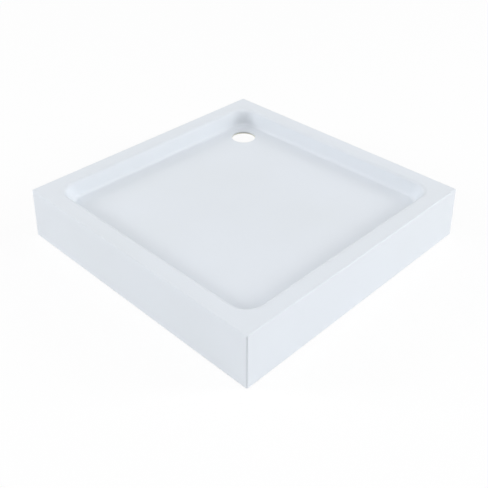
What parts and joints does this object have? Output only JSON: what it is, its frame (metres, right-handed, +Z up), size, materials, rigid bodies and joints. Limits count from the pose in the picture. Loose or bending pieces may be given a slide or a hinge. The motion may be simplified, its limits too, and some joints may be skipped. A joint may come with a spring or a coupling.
{
  "type": "shower tray",
  "caption": "Square acrylic shower tray with a flat wide rim, a shallow basin, a waste hole in the wall corner, an apron on the two open sides, and rails on screw feet.",
  "frame": {"origin": "middle of the tray on the ground, under the feet", "axes": "+Z up; X and Y along the tray's sides; the waste hole is in the corner towards -X and +Y, and the front is -Y"},
  "size_m": [1, 1, 0.181],
  "materials": {
    "white_acrylic": "glossy white acrylic",
    "glass_fibre_laminate": "sprayed chopped-strand glass fibre in polyester resin",
    "polyester_paste": "polyester bonding paste",
    "chipboard": "raw chipboard",
    "timber": "planed softwood",
    "galvanised_steel": "hot-dip galvanised sheet steel",
    "zinc_plated_steel": "bright zinc plating",
    "black_polypropylene": "moulded black polypropylene",
    "rubber_sole": "soft grey-black rubber"
  },
  "bodies": {
    "tray": {"tray_shell": "white_acrylic", "grp_backing": "glass_fibre_laminate", "bonding_bed": "polyester_paste", "base_board": "chipboard", "rim_batten_front": "timber", "rim_batten_back": "timber", "rim_batten_left": "timber", "rim_batten_right": "timber", "rail_front": "galvanised_steel", "rail_back": "galvanised_steel", "centre_bracket": "galvanised_steel", "rail_front_screws": "zinc_plated_steel", "rail_back_screws": "zinc_plated_steel", "centre_bracket_screws": "zinc_plated_steel", "foot_1_weld_nut": "zinc_plated_steel", "foot_1_lock_nut": "zinc_plated_steel", "foot_2_weld_nut": "zinc_plated_steel", "foot_2_lock_nut": "zinc_plated_steel", "foot_3_weld_nut": "zinc_plated_steel", "foot_3_lock_nut": "zinc_plated_steel", "foot_4_weld_nut": "zinc_plated_steel", "foot_4_lock_nut": "zinc_plated_steel", "foot_5_weld_nut": "zinc_plated_steel", "foot_5_lock_nut": "zinc_plated_steel"},
    "foot_1": {"foot_1_pad": "black_polypropylene", "foot_1_sole": "rubber_sole"},
    "foot_1_screw": {"foot_1_spindle": "zinc_plated_steel"},
    "foot_2": {"foot_2_pad": "black_polypropylene", "foot_2_sole": "rubber_sole"},
    "foot_2_screw": {"foot_2_spindle": "zinc_plated_steel"},
    "foot_3": {"foot_3_pad": "black_polypropylene", "foot_3_sole": "rubber_sole"},
    "foot_3_screw": {"foot_3_spindle": "zinc_plated_steel"},
    "foot_4": {"foot_4_pad": "black_polypropylene", "foot_4_sole": "rubber_sole"},
    "foot_4_screw": {"foot_4_spindle": "zinc_plated_steel"},
    "foot_5": {"foot_5_pad": "black_polypropylene", "foot_5_sole": "rubber_sole"},
    "foot_5_screw": {"foot_5_spindle": "zinc_plated_steel"}
  },
  "joints": [
    {"name": "foot_1_travel", "type": "slide", "parent": "tray", "child": "foot_1", "axis": [0, 0, -1], "range_m": [-0.01, 0.01]},
    {"name": "foot_1_turn", "type": "hinge", "parent": "foot_1", "child": "foot_1_screw", "pos_m": [-0.32, -0.3, 0.05], "axis": [0, 0, -1], "range_deg": [-2058, 2058]},
    {"name": "foot_2_travel", "type": "slide", "parent": "tray", "child": "foot_2", "axis": [0, 0, -1], "range_m": [-0.01, 0.01]},
    {"name": "foot_2_turn", "type": "hinge", "parent": "foot_2", "child": "foot_2_screw", "pos_m": [0.32, -0.3, 0.05], "axis": [0, 0, -1], "range_deg": [-2058, 2058]},
    {"name": "foot_3_travel", "type": "slide", "parent": "tray", "child": "foot_3", "axis": [0, 0, -1], "range_m": [-0.01, 0.01]},
    {"name": "foot_3_turn", "type": "hinge", "parent": "foot_3", "child": "foot_3_screw", "pos_m": [0.32, 0.19, 0.05], "axis": [0, 0, -1], "range_deg": [-2058, 2058]},
    {"name": "foot_4_travel", "type": "slide", "parent": "tray", "child": "foot_4", "axis": [0, 0, -1], "range_m": [-0.01, 0.01]},
    {"name": "foot_4_turn", "type": "hinge", "parent": "foot_4", "child": "foot_4_screw", "pos_m": [-0.32, 0.19, 0.05], "axis": [0, 0, -1], "range_deg": [-2058, 2058]},
    {"name": "foot_5_travel", "type": "slide", "parent": "tray", "child": "foot_5", "axis": [0, 0, -1], "range_m": [-0.01, 0.01]},
    {"name": "foot_5_turn", "type": "hinge", "parent": "foot_5", "child": "foot_5_screw", "pos_m": [0, -0.055, 0.05], "axis": [0, 0, -1], "range_deg": [-2058, 2058]}
  ],
  "couplings": [
    {"joint": "foot_1_turn", "follows": "foot_1_travel", "rad_per_m": 3590.4},
    {"joint": "foot_2_turn", "follows": "foot_2_travel", "rad_per_m": 3590.4},
    {"joint": "foot_3_turn", "follows": "foot_3_travel", "rad_per_m": 3590.4},
    {"joint": "foot_4_turn", "follows": "foot_4_travel", "rad_per_m": 3590.4},
    {"joint": "foot_5_turn", "follows": "foot_5_travel", "rad_per_m": 3590.4}
  ]
}
